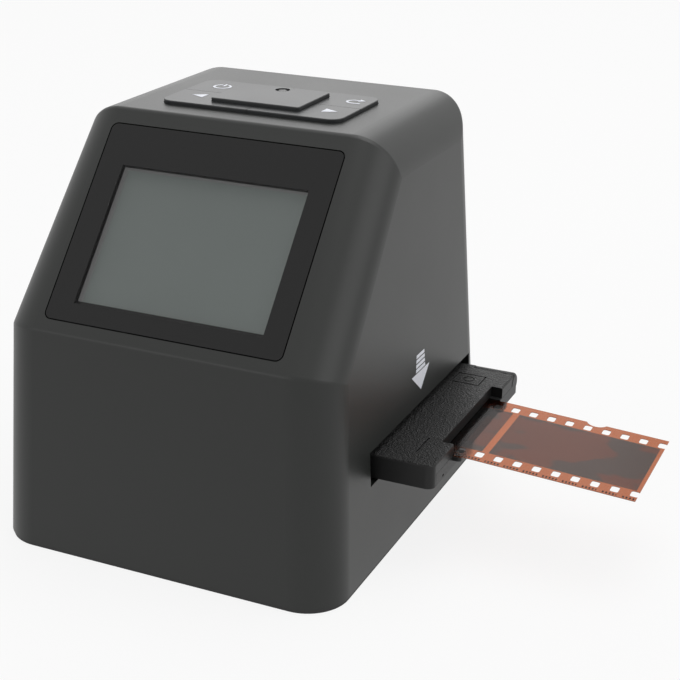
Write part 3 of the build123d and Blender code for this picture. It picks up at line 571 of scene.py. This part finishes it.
def lay_sign(name, body, pieces, origin, right, outward):
    """Joins flat shapes into one sign, thickens it and lays it on a face of the scanner."""
    only(*pieces)
    if len(pieces) > 1:
        bpy.ops.object.join()
    sign = bpy.context.object
    bpy.ops.object.mode_set(mode="EDIT")
    bpy.ops.mesh.select_all(action="SELECT")
    bpy.ops.mesh.extrude_region_move(TRANSFORM_OT_translate={"value": (0, 0, ink_thickness)})
    bpy.ops.mesh.select_all(action="SELECT")
    bpy.ops.mesh.normals_make_consistent(inside=False)
    bpy.ops.object.mode_set(mode="OBJECT")
    out, along = Vector(outward).normalized(), Vector(right).normalized()
    axes = Matrix((along, out.cross(along), out)).transposed().to_4x4()
    sign.data.transform(Matrix.Translation(Vector(origin) * mm) @ axes)
    sign.name = sign.data.name = name
    sign.data.materials.clear()
    sign.data.materials.append(pale_ink)
    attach(sign, body)
    print(name, "has", len(sign.data.polygons), "faces")


# %% [markdown]
# The arrow on the right wall points down at the slot for the film holder. It is a solid head
# with four bars over it, each a little narrower than the one below. The wall leans in a little,
# so the sign is laid along the lean.

# %% Arrow on the side
lean = tan(radians(2.6))
foot_half_width = 45.9
head_height, arrow_y = 39.97, 4.2
head_length, head_width = 5.0, 11.8
bar_count, bar_length, bar_pitch, first_bar = 4, 0.85, 1.22, -0.75
top_bar_width, bar_growth = 5.1, 0.28
arrow = [flat_triangle(head_length, head_width)]
for number in range(bar_count):
    far_width = top_bar_width + bar_growth * (bar_count - number)
    place = (first_bar - bar_pitch * number, 0)
    arrow.append(flat_bar(bar_length, far_width - bar_growth, far_width, place))
lay_sign(
    "side_arrow", "scanner", arrow,
    (foot_half_width - head_height * lean, arrow_y, head_height), (lean, 0, -1), (1, 0, lean),
)

# %% Triangles on two keys
corner_key_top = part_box("left_key")[1].z / mm
key_arrow = (3.6, 3.5)  # length and width
rightward, leftward, upward_face = (1, 0, 0), (-1, 0, 0), (0, 0, 1)
lay_sign(
    "left_sign", "left_key", [flat_triangle(*key_arrow)],
    (-15.9, 4.8, corner_key_top), leftward, upward_face,
)
lay_sign(
    "right_sign", "right_key", [flat_triangle(*key_arrow)],
    (16.9, 4.3, corner_key_top), rightward, upward_face,
)

# %% [markdown]
# The two round signs start as a ring of faces: a circle is extruded and the new edge is drawn
# inwards. Where the ring has to be open, the faces there are deleted.

# %% Rings
ring_points = 48


def flat_ring(radius, line_width, keep):
    """A flat ring, without the faces for whose middle keep(x, y) is false."""
    bpy.ops.mesh.primitive_circle_add(vertices=ring_points, radius=radius * mm)
    ring = bpy.context.object
    bpy.ops.object.mode_set(mode="EDIT")
    bpy.ops.mesh.select_all(action="SELECT")
    shrink = (radius - line_width) / radius
    bpy.ops.mesh.extrude_edges_move()
    bpy.ops.transform.resize(value=(shrink, shrink, 1))
    bpy.ops.mesh.select_mode(type="FACE")
    bpy.ops.mesh.select_all(action="DESELECT")
    bpy.ops.object.mode_set(mode="OBJECT")
    for face in ring.data.polygons:
        face.select = not keep(face.center.x / mm, face.center.y / mm)
    bpy.ops.object.mode_set(mode="EDIT")
    bpy.ops.mesh.delete(type="FACE")
    bpy.ops.object.mode_set(mode="OBJECT")
    return ring


sign_line = 0.6
power_ring = flat_ring(2.4, sign_line, lambda x, y: y < abs(x) * 2.2)
power_bar = flat_bar(sign_line, 2.1, 2.1, (0, 1.6))
lay_sign(
    "power_sign", "power_key", [power_ring, power_bar],
    (-17.2, 16.2, corner_key_top), rightward, upward_face,
)

return_radius = 1.9
arm_row, lower_arm, upper_arm = 1.6, 2.3, 1.1
return_ring = flat_ring(return_radius, sign_line, lambda x, y: x < 0.05)
arms = [
    flat_bar(length, sign_line, sign_line, (length / 2, row))
    for length, row in ((lower_arm, -arm_row), (upper_arm, arm_row))
]
return_head = flat_triangle(1.7, 2.3, (0.9, arm_row))
lay_sign(
    "return_sign", "mode_key", [return_ring, *arms, return_head],
    (19.6, 15.9, corner_key_top), rightward, upward_face,
)

# %% [markdown]
# ## Floor, light and surroundings
#
# The scanner stands in a pale room under a broad lamp. A second one behind it draws the sheen on
# the top, a third at the right lights the side wall, and a small one in front picks out the
# crease. The floor is white to the camera but still takes the shadow, because it is part its own
# colour and part a plain white light that only the camera, reflections and clear parts see.

# %% Floor and world
floor_size = 8.0
floor_glow = 0.86  # the share of plain white light in the floor
room_level = 0.4  # how brightly the room lights the scanner, where 1 is white


def seen_directly(finish):
    """1 for the camera, for reflections and through clear parts, else 0."""
    rays = [finish.node("LightPath", output=f"Is {kind} Ray")
            for kind in ("Camera", "Glossy", "Transmission")]
    return rays[0].most(rays[1]).most(rays[2])


bpy.ops.mesh.primitive_grid_add(x_subdivisions=8, y_subdivisions=8, size=floor_size)
floor = bpy.context.object
floor.name = "floor"
stone = Finish("floor_white")
cloud = stone.lay_out().noise(0.002, 1.0)
shade = stone.node("BsdfDiffuse", {}, {"Color": stone.mix(cloud, grey(238), grey(242))})
light = stone.node("Emission", {}, {"Color": (1, 1, 1, 1), "Strength": 1.0})
blend = stone.node("MixShader", {}, {0: seen_directly(stone) * floor_glow, 1: shade, 2: light})
stone.node("OutputMaterial", {}, {"Surface": blend})
floor.data.materials.append(stone.owner)

room = Finish("pale_room", bpy.data.worlds)
bpy.context.scene.world = room.owner
strength = seen_directly(room) * (1 - room_level) + room_level
backdrop = room.node("Background", {}, {"Color": (1, 1, 1, 1), "Strength": strength})
room.node("OutputWorld", {}, {"Surface": backdrop})
print("floor:", floor_size, "m wide, under", room.owner.name)


# %% Lamps
scanner_middle = Vector((0, 0, 0.05))


def soft_lamp(name, place, size, power):
    """A square lamp that looks at the scanner's middle, its size in metres."""
    lamp_data = bpy.data.lights.new(name, "AREA")
    lamp_data.size, lamp_data.energy = size, power
    lamp = bpy.data.objects.new(name, lamp_data)
    bpy.context.scene.collection.objects.link(lamp)
    lamp.location = place
    sight = scanner_middle - lamp.location
    lamp.rotation_euler = sight.to_track_quat("-Z", "Y").to_euler()
    print(name, "at", place, "with", power, "W")


soft_lamp("top_lamp", Vector((0.1, 0.2, 1.3)), 1.0, 7.0)
soft_lamp("back_lamp", Vector((-0.6, 1.3, 0.65)), 1.0, 2.6)
soft_lamp("right_lamp", Vector((1.15, 0.05, 0.7)), 1.0, 3.4)
soft_lamp("front_lamp", Vector((-0.55, -1.2, 0.4)), 0.4, 1.0)
bpy.context.scene.view_settings.view_transform = "Standard"
